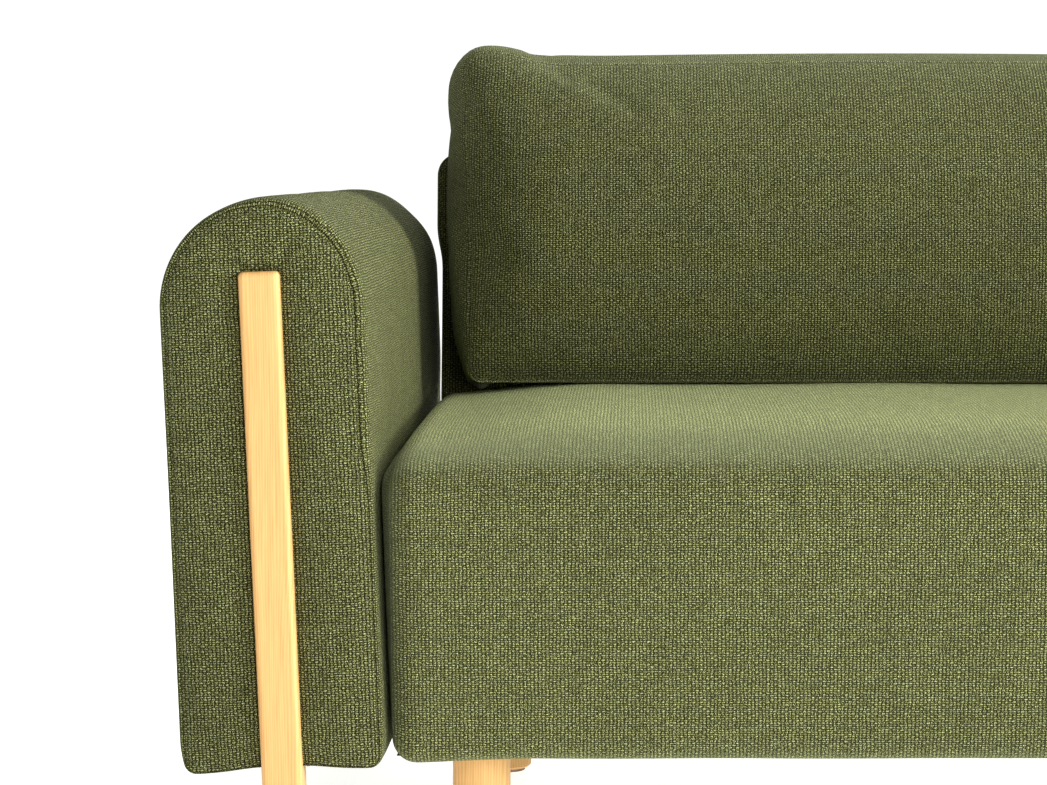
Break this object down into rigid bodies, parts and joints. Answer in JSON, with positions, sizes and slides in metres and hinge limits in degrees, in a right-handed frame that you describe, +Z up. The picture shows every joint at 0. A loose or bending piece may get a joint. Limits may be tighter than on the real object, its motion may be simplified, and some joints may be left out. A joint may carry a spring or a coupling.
{
  "type": "futon sofa bed",
  "caption": "Upholstered sofa bed with arch-topped arms on let-in wooden stick legs, puffy back cushions, and a back that reclines flat onto fold-down legs.",
  "frame": {"origin": "on the floor, at the centre of the sofa's footprint", "axes": "+X along the sofa's width (to the right seen from the front), -Y the way it faces, +Z up"},
  "size_m": [2.4068, 0.868, 0.81],
  "materials": {
    "upholstery": "matte",
    "foam": "matte",
    "cushion_fill": "matte",
    "dust_cloth": "matte",
    "webbing": "matte",
    "trim_tape": "matte",
    "felt": "matte",
    "light_wood": "satin",
    "plywood": "matte",
    "frame_timber": "matte",
    "bracket_steel": "satin",
    "tube_steel": "satin",
    "zinc_steel": "satin",
    "black_rubber": "matte",
    "nylon": "matte"
  },
  "bodies": {
    "base": {"arm_bolts": "zinc_steel", "bracket_bolts": "zinc_steel", "felt_glides": "felt", "left_arm_base_board": "plywood", "left_arm_cover": "upholstery", "left_arm_foam": "foam", "left_arm_front_leg": "light_wood", "left_arm_posts": "frame_timber", "left_arm_rear_leg": "light_wood", "left_arm_side_boards": "plywood", "left_base_bracket": "bracket_steel", "leg_hanger_bolts": "zinc_steel", "pivot_pins": "zinc_steel", "pivot_washers": "nylon", "right_arm_base_board": "plywood", "right_arm_cover": "upholstery", "right_arm_foam": "foam", "right_arm_front_leg": "light_wood", "right_arm_posts": "frame_timber", "right_arm_rear_leg": "light_wood", "right_arm_side_boards": "plywood", "right_base_bracket": "bracket_steel", "seat_center_beam": "frame_timber", "seat_center_leg": "light_wood", "seat_cover": "upholstery", "seat_dust_cover": "dust_cloth", "seat_foam": "foam", "seat_front_legs": "light_wood", "seat_front_rail": "frame_timber", "seat_left_rail": "frame_timber", "seat_leg_blocks": "frame_timber", "seat_rear_legs": "light_wood", "seat_rear_rail": "frame_timber", "seat_right_rail": "frame_timber", "seat_slats": "frame_timber"},
    "back": {"back_bottom_rail": "frame_timber", "back_bracket_bolts": "zinc_steel", "back_inner_stiles": "frame_timber", "back_panel_board": "plywood", "back_panel_cover": "upholstery", "back_panel_padding": "foam", "back_side_stiles": "frame_timber", "back_top_rail": "frame_timber", "back_webbing": "webbing", "cushion_fixing_strips": "trim_tape", "cushion_zips": "trim_tape", "left_back_bracket": "bracket_steel", "left_back_cushion_cover": "upholstery", "left_back_cushion_fill": "cushion_fill", "right_back_bracket": "bracket_steel", "right_back_cushion_cover": "upholstery", "right_back_cushion_fill": "cushion_fill", "support_leg_brackets": "bracket_steel", "support_leg_pins": "zinc_steel", "support_leg_screws": "zinc_steel"},
    "left_leg": {"left_support_leg": "tube_steel", "left_support_leg_cap": "black_rubber"},
    "right_leg": {"right_support_leg": "tube_steel", "right_support_leg_cap": "black_rubber"}
  },
  "joints": [
    {"name": "back_recline", "type": "hinge", "parent": "base", "child": "back", "pos_m": [0, 0.173, 0.32], "axis": [-1, 0, 0], "range_deg": [0, 78]},
    {"name": "left_support_leg_fold", "type": "hinge", "parent": "back", "child": "left_leg", "pos_m": [-0.64, 0.41205, 0.62701], "axis": [1, 0, 0], "range_deg": [0, 90]},
    {"name": "right_support_leg_fold", "type": "hinge", "parent": "back", "child": "right_leg", "pos_m": [0.64, 0.41205, 0.62701], "axis": [1, 0, 0], "range_deg": [0, 90]}
  ]
}
